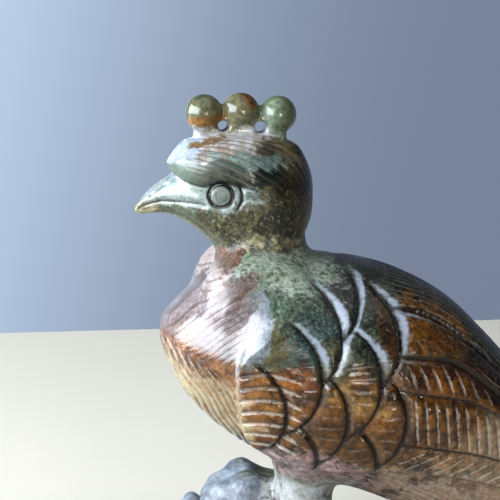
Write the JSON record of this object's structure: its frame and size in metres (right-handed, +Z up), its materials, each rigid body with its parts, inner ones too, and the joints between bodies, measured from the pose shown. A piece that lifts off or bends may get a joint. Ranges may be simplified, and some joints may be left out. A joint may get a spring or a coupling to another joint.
{
  "type": "jasper peacock carving",
  "caption": "Peacock with a beaded crest and overlapping feathers, standing on a rock, carved and polished from one block of jasper.",
  "frame": {"origin": "middle of the rock's flat underside", "axes": "+X from the beak towards the tail, +Z up, so the beak points towards -X and the bird's left side faces -Y"},
  "size_m": [0.0999, 0.0384, 0.0831],
  "materials": {
    "jasper": "polished, grey-green and dark green above, honey brown below, grey-blue rock"
  },
  "bodies": {
    "root": {"peacock_carving": "jasper"}
  },
  "joints": []
}
